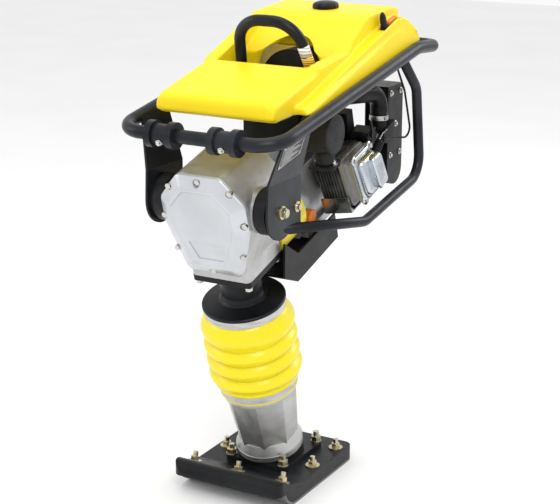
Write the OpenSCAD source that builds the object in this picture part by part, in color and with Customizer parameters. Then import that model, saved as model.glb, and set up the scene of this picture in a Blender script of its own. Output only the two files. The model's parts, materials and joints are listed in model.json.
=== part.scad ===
// Jumping jack rammer: a foot that slides on a leaning leg, a crank drive above it, an engine
// behind, and a handle with the fuel tank hung on two rubber mounts.
// Origin: centre of the flat sole. +Z up, the front of the machine is -Y, its right side is +X.
// Most of the machine is drawn along the leg: lean() turns local [x, t, s] into the world,
// where s runs up the leg axis and t runs back from it.

/* [Leg] */
// Forward lean of the leg axis, degrees
lean_a = 16.5; // [12:0.5:20]
// Radius of the spring cylinder that slides in the guide
slide_r = 55; // [52:1:57]
// Largest radius of the bellows
bellows_r = 109; // [104:1:112]
// Number of convolutions on the bellows
bellows_n = 4; // [3:1:6]

/* [Shoe] */
// Width of the shoe
shoe_w = 285; // [260:5:330]
// Length of the flat sole
sole_len = 281; // [270:1:320]
// Thickness of the shoe behind its toe
shoe_t = 37.4; // [30:0.2:42]
// Height of the raised toe lip
lip_h = 72; // [64:1:80]

/* [Crank drive] */
// Teeth on the crank gear
gear_z = 72; // [72:1:72]
// Teeth on the pinion
pinion_z = 12; // [12:1:12]
// Gear module
gear_m = 2.25; // [2.25:0.05:2.25]
// Radius of the crank pin's circle
crank_r = 32; // [26:1:34]

/* [Handle] */
// Distance between the centrelines of the side tubes
handle_w = 390; // [380:2:400]
// Radius of the handle tube
handle_r = 15; // [13:0.5:16]
// Radius of the guard tubes
guard_r = 12; // [10:0.5:13]
// Slope of the handle's side tubes, degrees
handle_a = 9.6; // [8:0.2:11]

/* [Tank] */
// Width of the tank's front block
tank_w = 292; // [280:2:300]
// Wall thickness of the tank
tank_wall = 4; // [3:0.5:5]

/* [Hidden] */
$fn = 48;

// Stations along the leg
ring_s = 76;
casting_top = 248;
cap_s = 400;
clamp_low = casting_top + 6;
clamp_high = 463;
clamp_h = 18;
guide_low = 300;
disc_s = 484;
base_s = 583;
base_t = 14;
case_top = 846;
piston_s = 236;
piston_t = 24;
rod_r = 14;

// Crankcase, front to back
case_front = -78;
case_back = 78;
case_wall = 7;
crank_s = 708;
mesh_gap = gear_m * (gear_z + pinion_z) / 2;
engine_s = crank_s - mesh_gap;
gear_t0 = 26;
gear_t1 = 44;
con_rod_len = 96;
pin_s = crank_s - crank_r;
small_s = pin_s - con_rod_len;

// Rubber mounts, in the world's Y and Z
mount_y = -235;
mount_z = 708;
mount_x0 = 110;
mount_x1 = 148;
plate_t = 5;
mount_r = 52;
mount_bolt_r = 9;
steady_y = -170;
steady_z = 707;
steady_r = 7;

// Engine, along the shaft and along the cylinder
cyl_t = 350;
cyl_a = 10;
block_t0 = 196;
block_t1 = 413;
fan_t = 415;

// Handle, in the world's Y and Z
bar_y = -331;
bar_z = 869;
knee_y = 345;
tail_a = -4.5;
tail_len = 120;
half_w = handle_w / 2;

// --- helpers ---------------------------------------------------------------------------------

module lean() {
    rotate([lean_a, 0, 0]) children();
}

// A round bar along t, from t0 to t1, at x and s
module bar_t(x, s, t0, t1, r) {
    translate([x, t0, s]) rotate([-90, 0, 0]) cylinder(h = t1 - t0, r = r);
}

// A round bar along x, at t and s (or the world's y and z)
module bar_x(t, s, x0, x1, r) {
    translate([x0, t, s]) rotate([0, 90, 0]) cylinder(h = x1 - x0, r = r);
}

// A flat outline in x and s, thick from t0 to t1
module slab_t(t0, t1) {
    translate([0, t1, 0]) rotate([90, 0, 0]) linear_extrude(height = t1 - t0) children();
}

// A flat outline in y and z, thick from x0 to x1
module slab_x(x0, x1) {
    translate([x0, 0, 0]) rotate([90, 0, 90]) linear_extrude(height = x1 - x0) children();
}

module both_sides() {
    children();
    mirror([1, 0, 0]) children();
}

module rounded_square(w, d, r) {
    translate([-w / 2 + r, -d / 2]) square([w - 2 * r, d]);
    translate([-w / 2, -d / 2 + r]) square([w, d - 2 * r]);
    for (x = [-1, 1], y = [-1, 1])
        translate([x * (w / 2 - r), y * (d / 2 - r)]) circle(r = r);
}

// Points on an arc, from angle a0 to a1
function arc(cx, cy, r, a0, a1, n = 10) =
    [for (i = [0 : n]) let (a = a0 + (a1 - a0) * i / n) [cx + r * cos(a), cy + r * sin(a)]];

function unit(v) = v / norm(v);
function angle_between(a, b) = acos(max(-1, min(1, a * b)));

// How much of a straight run the bend at point i takes up
function cut_back(pts, rs, i) =
    rs[i] * tan(angle_between(unit(pts[i] - pts[i - 1]), unit(pts[i + 1] - pts[i])) / 2);

// Points round the bend at point i, with bend radius rs[i]
function bend(pts, rs, i) =
    let (d1 = unit(pts[i] - pts[i - 1]), d2 = unit(pts[i + 1] - pts[i]),
        a = angle_between(d1, d2), inward = unit(d2 - (d1 * d2) * d1),
        start = pts[i] - d1 * cut_back(pts, rs, i), steps = ceil(a / 11))
    [for (k = [0 : steps]) start + rs[i] * ((1 - cos(a * k / steps)) * inward
        + sin(a * k / steps) * d1)];

function bent(pts, rs) = concat([pts[0]],
    [for (i = [1 : len(pts) - 2]) each bend(pts, rs, i)], [pts[len(pts) - 1]]);

// A round rod swept through route; side is a direction that the route never runs along
module rod(route, r, side, sides = 16, closed = false) {
    n = len(route);
    rings = [for (i = [0 : n - 1]) let (
        before = closed || i > 0 ? route[(i + n - 1) % n] : route[i],
        after = closed || i < n - 1 ? route[(i + 1) % n] : route[i],
        d = unit(after - before), u = unit(cross(d, side)), v = cross(d, u))
        for (k = [0 : sides - 1]) let (a = 360 * k / sides)
            route[i] + r * (cos(a) * u + sin(a) * v)];
    walls = [for (i = [0 : n - (closed ? 1 : 2)], k = [0 : sides - 1]) let (
        m = (k + 1) % sides, j = (i + 1) % n)
        [i * sides + k, j * sides + k, j * sides + m, i * sides + m]];
    ends = closed ? [] :
        [[for (k = [0 : sides - 1]) k], [for (k = [sides - 1 : -1 : 0]) (n - 1) * sides + k]];
    polyhedron(points = rings, faces = concat(ends, walls));
}

// A hexagon nut with its washer and stud end, standing on z = 0
module stud_nut(stud_r, stand, washer_r) {
    cylinder(h = 3, r = washer_r);
    translate([0, 0, 3]) cylinder(h = stud_r * 1.6, r = stud_r * 1.8, $fn = 6);
    translate([0, 0, 3]) cylinder(h = stand, r = stud_r);
}

// --- foot ------------------------------------------------------------------------------------

toe_y = -sole_len / 2 - 8;
toe_r = 56;
toe_a = 70;
sole_t = 5;
lip_y = -sole_len / 2 - 91;
nose_r = 24;
ramp_y = -112;
ramp_len = 76;
ramp_a = 15.9;
shoe_bolt_at = [[-118, -25], [118, -25], [-118, 93], [118, 93]];
toe_bolt_x = [-118, 0, 118];
toe_bolt_y = -171;
flange_bolt_at = [[-70, -82], [70, -82], [-70, 82], [70, 82]];
flange_top = shoe_t + 12;

module shoe_plan(extra) {
    translate([0, (sole_len / 2 + lip_y) / 2])
        rounded_square(shoe_w + extra, sole_len / 2 - lip_y + extra, 24);
}

// A place on the shoe's rising front, square to its surface
module on_ramp(x) {
    translate([x, toe_bolt_y, shoe_t + (ramp_y - toe_bolt_y) * tan(ramp_a)])
        rotate([-ramp_a, 0, 0]) children();
}

module shoe() {
    color("#1d1e20") difference() {
        intersection() {
            slab_x(-shoe_w / 2, shoe_w / 2) polygon(concat(
                [[sole_len / 2, sole_t], [sole_len / 2, shoe_t], [ramp_y, shoe_t],
                    [ramp_y - ramp_len, shoe_t + ramp_len * tan(ramp_a)]],
                arc(lip_y + nose_r, lip_h - nose_r, nose_r, 60, 200),
                arc(toe_y, toe_r, toe_r - sole_t, -90 - toe_a, -90)));
            linear_extrude(height = lip_h + 10) shoe_plan(0);
        }
        for (p = shoe_bolt_at) translate([p[0], p[1], 12]) cylinder(h = 60, r = 6.2);
        for (x = toe_bolt_x) on_ramp(x) translate([0, 0, -22]) cylinder(h = 60, r = 6.2);
        for (p = flange_bolt_at) translate([p[0], p[1], 12]) cylinder(h = 60, r = 7.2);
    }
}

module sole_plate() {
    color("#3a3c3e") intersection() {
        slab_x(-shoe_w / 2, shoe_w / 2) polygon(concat(
            [[sole_len / 2, 0], [sole_len / 2, sole_t]],
            arc(toe_y, toe_r, toe_r - sole_t, -90, -90 - toe_a),
            arc(toe_y, toe_r, toe_r, -90 - toe_a, -90)));
        linear_extrude(height = lip_h) shoe_plan(0);
    }
}

module shoe_bolt() {
    stud_nut(6, 21, 17);
    translate([0, 0, -20]) cylinder(h = 24, r = 6);
}

module shoe_bolts() {
    color("#c9b57a") {
        for (p = shoe_bolt_at) translate([p[0], p[1], shoe_t]) shoe_bolt();
        for (x = toe_bolt_x) on_ramp(x) shoe_bolt();
    }
}

module foot_flange() {
    color("#1b1c1e") difference() {
        union() {
            translate([0, 0, shoe_t]) linear_extrude(height = flange_top - shoe_t)
                rounded_square(166, 186, 12);
            intersection() {
                lean() translate([0, 0, 30]) cylinder(h = ring_s - 30, r = 78);
                translate([-100, -120, shoe_t + 5]) cube([200, 240, 100]);
            }
        }
        for (p = flange_bolt_at) translate([p[0], p[1], 30]) cylinder(h = 40, r = 7.2);
    }
}

module flange_bolts() {
    color("#c9b57a") for (p = flange_bolt_at) translate([p[0], p[1], flange_top]) {
        stud_nut(7, 23, 12.8);
        translate([0, 0, -30]) cylinder(h = 34, r = 7);
    }
}

module foot_casting() {
    color("#b9bdc1") lean() difference() {
        union() {
            translate([0, 0, ring_s]) cylinder(h = 13, r = 80);
            translate([0, 0, ring_s + 13]) cylinder(h = 24, r1 = 78.5, r2 = 70);
            translate([0, 0, ring_s + 20]) rotate([0, 0, 22.5])
                cylinder(h = casting_top - ring_s - 26, r1 = 71, r2 = 86, $fn = 8);
            translate([0, 0, casting_top - 8]) cylinder(h = 8, r = 87);
            translate([0, 0, casting_top]) cylinder(h = 24, r = 83);
        }
        translate([0, 0, ring_s + 20]) cylinder(h = 200, r = slide_r + 0.1);
        for (a = [60, 240]) rotate([0, 0, a])
            translate([72, -3.5, ring_s + 34]) cube([40, 7, casting_top - ring_s - 46]);
    }
}

module lower_clamp() {
    color("#c4c7ca") lean() translate([0, 0, clamp_low]) difference() {
        union() {
            cylinder(h = clamp_h, r = 90.5);
            translate([-9, 88, 4]) cube([18, 12, 10]);
        }
        translate([0, 0, -1]) cylinder(h = clamp_h + 2, r = 88.6);
    }
}

module spring_cylinder() {
    color("#9da1a5") lean() difference() {
        translate([0, 0, ring_s + 20]) cylinder(h = cap_s - ring_s - 20, r = slide_r);
        translate([0, 0, ring_s + 30]) cylinder(h = cap_s, r = slide_r - 7);
    }
}

module cylinder_cap() {
    color("#8b8f93") lean() translate([0, 0, cap_s]) difference() {
        union() {
            cylinder(h = 10, r = slide_r - 0.5);
            translate([0, 0, -14]) cylinder(h = 15, r = slide_r - 7.2);
        }
        translate([0, 0, -20]) cylinder(h = 40, r = rod_r + 0.06);
    }
}

// A coil spring standing from s0 to s1, with flat-laid end turns
module coil(s0, s1, mean_r, wire_r, turns) {
    steps = 12 * turns;
    rod([for (i = [0 : steps]) let (u = i / steps, a = 360 * turns * u)
        [mean_r * cos(a), mean_r * sin(a), s0 + wire_r + (s1 - s0 - 2 * wire_r) * u]],
        wire_r, [0, 0, 1], 6);
}

module lower_spring() {
    color("#55606a") lean() coil(ring_s + 31, piston_s - 1, 38, 5, 7);
}

module upper_spring() {
    color("#55606a") lean() coil(piston_s + piston_t + 1, cap_s - 15, 38, 5, 7);
}

// --- leg -------------------------------------------------------------------------------------

neck_r = 40;

module guide_cylinder() {
    color("#26282b") lean() difference() {
        union() {
            rotate_extrude() polygon([
                [slide_r + 0.08, guide_low], [slide_r + 9, guide_low], [slide_r + 9, disc_s - 14],
                [86, disc_s - 14], [86, disc_s - 2], [96, disc_s - 2], [96, disc_s + 3], [94, disc_s + 5],
                [56, disc_s + 12], [50, disc_s + 17], [47, disc_s + 25], [47, base_s - base_t],
                [neck_r, base_s - base_t], [neck_r, disc_s], [slide_r + 0.08, disc_s - 8]]);
            translate([0, 0, base_s - base_t]) difference() {
                linear_extrude(height = base_t) rounded_square(148, 148, 8);
                translate([0, 0, -1]) cylinder(h = base_t + 2, r = neck_r);
            }
        }
        for (x = [-63, 63], t = [-63, 63])
            translate([x, t, base_s - base_t - 3]) cylinder(h = base_t + 6, r = 5.2);
    }
}

bellows_lip = casting_top + 2;
bellows_top = disc_s - 3;
groove_r = 97;
fold_low = clamp_low + clamp_h + 13;
fold_top = clamp_high - 8;
// The top fold is taller than the others by this
fold_extra = 12.6;
fold_h = (fold_top - fold_low - fold_extra) / bellows_n;

module bellows() {
    wall = 4;
    folds = [for (i = [0 : bellows_n - 1], k = [0 : 7])
        let (a = 360 * k / 8, h = i < bellows_n - 1 ? fold_h : fold_h + fold_extra)
        [(bellows_r + groove_r) / 2 - (bellows_r - groove_r) / 2 * cos(a),
            fold_low + fold_h * i + h * k / 8]];
    outer = concat([[88, bellows_lip], [88, clamp_low + clamp_h + 1], [96, fold_low - 5]], folds,
        [[groove_r, fold_top], [90, clamp_high - 3], [90, bellows_top]]);
    inner = [for (i = [len(outer) - 1 : -1 : 0]) [outer[i][0] - wall, outer[i][1]]];
    color("#f0d91e") lean() rotate_extrude() polygon(concat(outer, inner));
}

module upper_clamp() {
    color("#c4c7ca") lean() translate([0, 0, clamp_high]) difference() {
        union() {
            cylinder(h = clamp_h, r = 92.5);
            translate([-9, 90, 4]) cube([18, 12, 10]);
        }
        translate([0, 0, -1]) cylinder(h = clamp_h + 2, r = 90.6);
    }
}

// --- crankcase -------------------------------------------------------------------------------

// Right half of the shield, top to bottom, drawn in by an even margin
function half_shield(m) = concat(
    arc(44 - 0.3 * m, case_top - 22 - 0.4 * m, 22 - 0.6 * m, 90, 45, 4),
    arc(80 - 0.4 * m, case_top - 70 - 0.2 * m, 26 - 0.6 * m, 45, 0, 4),
    arc(80 - 0.4 * m, case_top - 116, 26 - 0.6 * m, 0, -17, 3),
    arc(54 - 0.4 * m, 626 + 0.4 * m, 20 - 0.6 * m, -17, -75, 4));
function reverse(a) = [for (i = [len(a) - 1 : -1 : 0]) a[i]];
function mirrored(a) = [for (p = reverse(a)) [-p[0], p[1]]];
module shield_plan(m) {
    polygon(concat(half_shield(m), mirrored(half_shield(m))));
}
cover_bolt_at = [[0, 834], [76, 816], [100, 742], [84, 662], [0, 614], [-84, 662], [-100, 742],
    [-76, 816]];

module crankcase() {
    mt = mount_y * cos(lean_a) + mount_z * sin(lean_a);
    ms = -mount_y * sin(lean_a) + mount_z * cos(lean_a);
    color("#b4b8bc") lean() difference() {
        union() {
            slab_t(case_front, case_back) shield_plan(0);
            translate([0, 0, base_s]) linear_extrude(height = 60) rounded_square(148, 148, 10);
            both_sides() bar_x(mt, ms, 84, mount_x0, mount_r - 2);
            bar_t(0, crank_s, 50, case_back + 4, 40);
        }
        difference() {
            union() {
                slab_t(case_front - 1, case_back - case_wall) shield_plan(case_wall);
                translate([0, 0, base_s + 8]) linear_extrude(height = 60)
                    rounded_square(128, 128, 10);
            }
            bar_t(0, crank_s, 50, case_back, 40);
        }
        translate([0, 0, base_s - 5]) cylinder(h = 20, r = slide_r + 0.4);
        bar_t(0, crank_s, 40, case_back + 10, 31.05);
        bar_t(0, engine_s, 50, case_back + 10, 24.05);
        both_sides() bar_x(mt, ms, 70, 130, mount_bolt_r + 0.2);
    }
}

module front_cover() {
    color("#c3c7cb") lean() difference() {
        union() {
            slab_t(case_front - 9, case_front - 1.2) shield_plan(0);
            hull() {
                slab_t(case_front - 9, case_front - 8) shield_plan(0);
                slab_t(case_front - 27, case_front - 26) shield_plan(24);
            }
        }
        hull() {
            slab_t(case_front - 5, case_front) shield_plan(10);
            slab_t(case_front - 22, case_front - 21) shield_plan(30);
        }
        slab_t(case_front - 30, case_front - 25.5) shield_plan(32);
        for (p = cover_bolt_at) bar_t(p[0], p[1], case_front - 30, case_front - 10, 8);
        for (p = cover_bolt_at) bar_t(p[0], p[1], case_front - 30, case_front + 1, 4.2);
    }
}

module cover_gasket() {
    color("#6d4a2c") lean() difference() {
        slab_t(case_front - 1.2, case_front) shield_plan(1);
        slab_t(case_front - 3, case_front + 1) shield_plan(6.5);
    }
}

module cover_bolts() {
    color("#cfc9a8") lean() for (p = cover_bolt_at) {
        bar_t(p[0], p[1], case_front - 16, case_front - 10, 6.5);
        bar_t(p[0], p[1], case_front - 12, case_front - 1.2, 4);
    }
}

module base_bolts() {
    color("#cfc9a8") lean() for (x = [-63, 63], t = [-63, 63]) {
        translate([x, t, base_s - base_t - 3]) cylinder(h = 3, r = 9.5);
        translate([x, t, base_s - base_t - 10]) cylinder(h = 8, r = 8.6, $fn = 6);
        translate([x, t, base_s - base_t - 10]) cylinder(h = base_t + 10, r = 5);
    }
}

module crank_bearing() {
    color("#a9adb1") lean() difference() {
        bar_t(0, crank_s, 54, 76, 31);
        bar_t(0, crank_s, 50, 80, 15.05);
    }
}

module pinion_bearing() {
    color("#a9adb1") lean() difference() {
        bar_t(0, engine_s, case_back - case_wall, case_back, 24);
        bar_t(0, engine_s, 50, 90, 10.05);
    }
}

module rubber_mounts() {
    color("#1c1d1f") both_sides() difference() {
        union() {
            bar_x(mount_y, mount_z, mount_x0, mount_x1, mount_r - 4);
            bar_x(mount_y, mount_z, mount_x0 + 4, mount_x1 - 8, mount_r);
        }
        bar_x(mount_y, mount_z, mount_x0 - 1, mount_x1 + 1, mount_bolt_r + 0.2);
    }
}

// --- crank train -----------------------------------------------------------------------------

// Stub teeth with straight flanks: addendum and dedendum in modules, width as a share of pitch
function tooth_ring(z, m, turn) = [for (i = [0 : z - 1], k = [0 : 3]) let (
    r = m * z / 2,
    half = [0.285, 0.135, 0.135, 0.285][k] * 360 / z,
    rad = r + m * [-1.05, 0.7, 0.7, -1.05][k],
    a = turn + 360 * i / z + (k < 2 ? -half : half))
    [rad * cos(a), rad * sin(a)]];

module crank_gear() {
    color("#8d9297") lean() difference() {
        union() {
            translate([0, 0, crank_s]) slab_t(gear_t0, gear_t1) polygon(tooth_ring(gear_z, gear_m, -90));
            bar_t(0, crank_s, gear_t1, 82, 15);
            bar_t(0, crank_s, gear_t1, 50, 24);
            bar_t(0, pin_s, -16, gear_t0 + 1, 13);
            bar_t(0, pin_s, -20, -16, 17);
        }
        for (a = [35, 90, 145, 215, 325]) bar_t(52 * cos(a), crank_s + 52 * sin(a), 20, 50, 15);
    }
}

module con_rod() {
    color("#9a9ea2") lean() {
        difference() {
            union() {
                bar_t(0, pin_s, -13, 13, 24);
                bar_t(0, small_s, -13, 13, 14);
                translate([-10, -9, small_s]) cube([20, 18, con_rod_len]);
            }
            bar_t(0, pin_s, -14, 14, 13.06);
        }
        bar_t(0, small_s, -15, 15, 8);
    }
}

fork_s = small_s - 17 - 2 * crank_r - 4;

module piston_rod() {
    color("#aeb2b6") lean() {
        for (side = [-1, 1]) translate([-15, side > 0 ? 16 : -25, fork_s - 6])
            cube([30, 9, small_s - fork_s + 19]);
        translate([-15, -25, fork_s - 12]) cube([30, 50, 12]);
        translate([0, 0, piston_s + 2]) cylinder(h = fork_s - piston_s - 8, r = rod_r);
    }
}

module piston() {
    color("#8b8f93") lean() difference() {
        translate([0, 0, piston_s]) cylinder(h = piston_t, r = slide_r - 7.06);
        translate([0, 0, piston_s + 2]) cylinder(h = piston_t, r = rod_r + 0.1);
    }
}

drum_t = 96;

module clutch_drum() {
    color("#7d8186") lean() {
        translate([0, 0, engine_s]) slab_t(gear_t0, gear_t1)
            polygon(tooth_ring(pinion_z, gear_m, 90 + 180 / pinion_z));
        bar_t(0, engine_s, gear_t1, drum_t + 1, 10);
        difference() {
            bar_t(0, engine_s, drum_t, drum_t + 42, 58);
            bar_t(0, engine_s, drum_t + 5, drum_t + 50, 54);
        }
    }
}

module engine_crankshaft() {
    color("#a2a6aa") lean() {
        bar_t(0, engine_s, drum_t + 10, block_t0 + 40, 11);
        bar_t(0, engine_s, block_t0 + 30, block_t0 + 50, 37);
        bar_t(0, engine_s, block_t1 - 60, block_t1 - 40, 37);
        translate([0, 0, 20]) bar_t(0, engine_s, block_t0 + 49, block_t1 - 59, 14);
        bar_t(0, engine_s, block_t1 - 50, fan_t + 44, 11);
    }
}

module clutch_shoes() {
    color("#6f5b45") lean() difference() {
        bar_t(0, engine_s, drum_t + 10, drum_t + 36, 53);
        bar_t(0, engine_s, drum_t, drum_t + 50, 11.05);
        for (a = [0, 120, 240]) translate([0, drum_t, engine_s]) rotate([0, a, 0])
            translate([24, -2, -4]) cube([40, 60, 8]);
        for (a = [60, 180, 300]) translate([0, drum_t, engine_s]) rotate([0, a, 0])
            translate([36, -2, 0]) rotate([-90, 0, 0]) cylinder(h = 60, r = 7);
    }
}

// --- engine ----------------------------------------------------------------------------------

module clutch_housing() {
    color("#e3cf2b") lean() difference() {
        union() {
            bar_t(0, engine_s, case_back + 0.2, block_t0, 76);
            slab_t(case_back + 0.2, case_back + 12) intersection() {
                shield_plan(4);
                translate([-100, 540]) square([200, 230]);
            }
        }
        bar_t(0, engine_s, case_back - 5, block_t0 - 12, 68);
        bar_t(0, engine_s, case_back - 5, block_t0 + 5, 13);
        bar_t(0, crank_s, case_back - 5, case_back + 8, 41);
    }
}

module engine_block() {
    color("#8f9397") lean() difference() {
        union() {
            translate([-78, block_t0 + 0.2, engine_s - 78])
                cube([126, block_t1 - block_t0 - 0.4, 158]);
            translate([-60, block_t0 + 20, engine_s - 86]) cube([120, block_t1 - block_t0 - 60, 20]);
        }
        translate([-68, block_t0 + 12, engine_s - 68])
            cube([106, block_t1 - block_t0 - 24, 138]);
        bar_t(0, engine_s, block_t0 - 5, block_t1 + 5, 11.06);
        translate([0, cyl_t, engine_s]) rotate([0, 90 - cyl_a, 0]) cylinder(h = 120, r = 33.2);
        bar_x(block_t0 + 52, engine_s - 46, 30, 60, 11.2);
    }
}

// Shapes along the cylinder: u from the crank axis, with y across it
module on_cylinder(u) {
    translate([0, cyl_t, engine_s]) rotate([0, 90 - cyl_a, 0]) translate([0, 0, u]) children();
}

module engine_barrel() {
    color("#4a4d50") lean() on_cylinder(0) difference() {
        union() {
            translate([0, 0, 40]) cylinder(h = 88, r = 33);
            for (i = [0 : 7]) translate([0, 0, 68 + 7.6 * i])
                linear_extrude(height = 2.6) rounded_square(124, 122, 14);
        }
        translate([0, 0, 30]) cylinder(h = 110, r = 26);
    }
}

module cylinder_head() {
    color("#9a9ea2") lean() on_cylinder(0) difference() {
        union() {
            translate([0, 0, 128]) linear_extrude(height = 10) rounded_square(118, 112, 12);
            translate([0, 0, 138]) linear_extrude(height = 16) rounded_square(92, 88, 10);
            translate([0, 0, 154]) linear_extrude(height = 6) rounded_square(116, 96, 14);
        }
        translate([0, 0, 120]) cylinder(h = 14, r = 26);
    }
}

rocker_bolt_at = [[-50, -40], [50, -40], [-50, 40], [50, 40]];

module rocker_cover() {
    color("#c2c6ca") lean() on_cylinder(160) difference() {
        union() {
            linear_extrude(height = 5) rounded_square(118, 98, 14);
            hull() {
                translate([0, 0, 4]) linear_extrude(height = 1) square([92, 76], center = true);
                translate([0, 0, 30]) linear_extrude(height = 1) square([66, 56], center = true);
            }
        }
        hull() {
            translate([0, 0, -1]) linear_extrude(height = 1) square([84, 68], center = true);
            translate([0, 0, 26]) linear_extrude(height = 1) square([58, 48], center = true);
        }
        for (p = rocker_bolt_at) translate([p[0], p[1], -1]) cylinder(h = 8, r = 3.7);
    }
}

module rocker_bolts() {
    color("#d4d0b8") lean() on_cylinder(165) for (p = rocker_bolt_at) translate([p[0], p[1], 0]) {
        cylinder(h = 5, r = 6, $fn = 6);
        translate([0, 0, -4.8]) cylinder(h = 5, r = 3.4);
    }
}

module engine_shroud() {
    color("#a4a8ab") lean() on_cylinder(62) {
        translate([66, -58, 0]) cube([3, 116, 74]);
        translate([30, -66, 0]) cube([39, 3, 74]);
        translate([60, -63.5, 0]) cube([9, 6, 74]);
    }
}

module fan_housing() {
    color("#202224") lean() difference() {
        union() {
            bar_t(0, engine_s, fan_t, fan_t + 52, 92);
            bar_t(0, engine_s, fan_t + 52, fan_t + 76, 76);
            translate([-60, fan_t, engine_s + 40]) cube([150, 30, 100]);
        }
        bar_t(0, engine_s, fan_t - 1, fan_t + 49, 88);
        bar_t(0, engine_s, fan_t + 40, fan_t + 72, 70);
        translate([-56, fan_t - 1, engine_s + 44]) cube([142, 27, 92]);
        for (a = [0 : 30 : 330]) translate([0, fan_t, engine_s]) rotate([0, a, 0])
            translate([30, 60, -4]) cube([30, 30, 8]);
        bar_t(0, engine_s, fan_t + 60, fan_t + 90, 12);
        bar_x(fan_t + 62, engine_s - 40, -90, -60, 6.2);
    }
}

module flywheel() {
    color("#85898d") lean() difference() {
        union() {
            bar_t(0, engine_s, fan_t + 6, fan_t + 24, 72);
            for (a = [0 : 30 : 330]) translate([0, fan_t + 24, engine_s]) rotate([0, a, 0])
                translate([38, 0, -1.5]) cube([32, 18, 3]);
        }
        bar_t(0, engine_s, fan_t, fan_t + 60, 11.06);
    }
}

module muffler() {
    color("#3d4046") lean() difference() {
        union() {
            bar_x(262, 784, 72, 140, 46);
            bar_x(262, 784, 68, 144, 43);
            translate([104, 270, 700]) cylinder(h = 60, r = 17);
            translate([84, 246, 697]) cube([44, 48, 7]);
        }
        bar_x(262, 784, 72, 140, 42);
        translate([104, 270, 690]) cylinder(h = 80, r = 12);
    }
}

module carburettor() {
    t0 = block_t1 - 1;
    color("#2b2d2f") {
        lean() difference() {
            union() {
                translate([92, t0 + 4, 664]) cube([48, 38, 44]);
                translate([104, t0 + 4, 640]) cube([26, 30, 25]);
                bar_t(116, 686, t0, t0 + 5, 26);
            }
            bar_t(116, 686, t0 - 5, t0 + 30, 13);
            bar_x(t0 + 20, 698, 130, 150, 3.1);
        }
        // the upright air box behind, with the shoulder that takes the intake hose
        slab_x(66, 128) polygon(concat(arc(371, 680, 41, 180, 360, 12), [[412, 885], [330, 885]]));
        slab_x(94, 142) polygon([[278, 788], [340, 806], [340, 752], [284, 758]]);
        translate([118, 300, 780]) cylinder(h = 28, r = 19);
        translate([116, 228, 770]) rotate([-90, 0, 0]) cylinder(h = 104, r = 20);
    }
}

module choke_lever() {
    color("#2a2b2d") lean() {
        bar_x(block_t1 + 19, 698, 132, 140.5, 3);
        bar_x(block_t1 + 19, 698, 140.5, 144.5, 7);
        translate([140.5, block_t1 + 16, 700]) cube([4, 6, 26]);
    }
}

module plug_cap() {
    color("#18191a") lean() translate([155, 411, 662]) rotate([-62, 0, 0]) {
        cylinder(h = 34, r = 9);
        for (i = [0 : 3]) translate([0, 0, 5 + 7 * i]) cylinder(h = 3, r = 11);
    }
}

module oil_plug() {
    color("#e07b1d") lean() difference() {
        union() {
            bar_x(block_t0 + 52, engine_s - 46, 38, 49, 11);
            bar_x(block_t0 + 52, engine_s - 46, 48.4, 60, 17);
        }
        for (a = [0 : 45 : 315]) translate([50, block_t0 + 52 + 18 * cos(a), engine_s - 46 + 18 * sin(a)])
            rotate([0, 90, 0]) cylinder(h = 12, r = 3);
    }
}

module belly_guard() {
    color("#1a1b1d") lean() {
        both_sides() slab_x(82, 87) polygon([[100, 484], [305, 484], [305, 548], [120, 548],
            [71, 601], [48, 525]]);
        translate([-83, 100, 484]) cube([166, 205, 5]);
        translate([-83, 300, 484]) cube([166, 5, 38]);
    }
}

// --- handle ----------------------------------------------------------------------------------

knee_z = bar_z + (knee_y - bar_y) * tan(handle_a);
tail_y = knee_y + tail_len * cos(tail_a);
tail_z = knee_z + tail_len * sin(tail_a);
loop_pts = [[0, bar_y, bar_z], [half_w, bar_y, bar_z], [half_w, knee_y, knee_z],
    [half_w, tail_y, tail_z], [-half_w, tail_y, tail_z], [-half_w, knee_y, knee_z],
    [-half_w, bar_y, bar_z], [-60, bar_y, bar_z]];
loop_bends = [0, 62, 160, 44, 44, 160, 62, 0];

module handle_frame() {
    color("#26282c") {
        rod(bent(loop_pts, loop_bends), handle_r, [0, 0, 1], 20, closed = true);
        // brackets under the tank
        for (x = [-half_w + 5, half_w - 47]) translate([x, 20, 919]) cube([42, 40, 5]);
    }
}

guard_pts = [[half_w, 258, bar_z + (258 - bar_y) * tan(handle_a)], [half_w, 343, 888],
    [half_w, 374, 673], [half_w, 75, 621], [140, -232, 668]];
guard_bends = [0, 50, 55, 70, 0];

module guard_tube() {
    difference() {
        rod(bent(guard_pts, guard_bends), guard_r, [1, 0, 0]);
        translate([half_w, bar_y, bar_z]) rotate([handle_a - 90, 0, 0])
            translate([0, 0, 300]) cylinder(h = 360, r = handle_r + 0.05);
        slab_x(100, mount_x1 + plate_t + 0.05) translate([-300, 600]) square([200, 200]);
    }
}

module guard_right() {
    color("#26282c") guard_tube();
}

module guard_left() {
    color("#26282c") mirror([1, 0, 0]) guard_tube();
}

module side_plates() {
    x0 = mount_x1;
    x1 = mount_x1 + plate_t;
    color("#1f2124") both_sides() difference() {
        union() {
            slab_x(x0, x1) polygon(concat(
                arc(mount_y, mount_z, mount_r + 8, 180, 300, 12), [[-152, 668], [-152, 776], [-291, 776]]));
            // the flared upper part that reaches the side tube
            translate([x0, 0, 775]) rotate([0, 15, 0]) slab_x(0, plate_t)
                polygon([[-291, 0], [-152, 0], [-158, 132], [-262, 112]]);
        }
        bar_x(mount_y, mount_z, x0 - 1, x1 + 1, mount_bolt_r + 0.2);
        bar_x(steady_y, steady_z, x0 - 1, x1 + 1, steady_r + 0.2);
        translate([half_w, bar_y, bar_z]) rotate([handle_a - 90, 0, 0])
            cylinder(h = 300, r = handle_r + 0.05);
        translate([half_w - 15, -300, bar_z]) cube([60, 180, 80]);
    }
}

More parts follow.
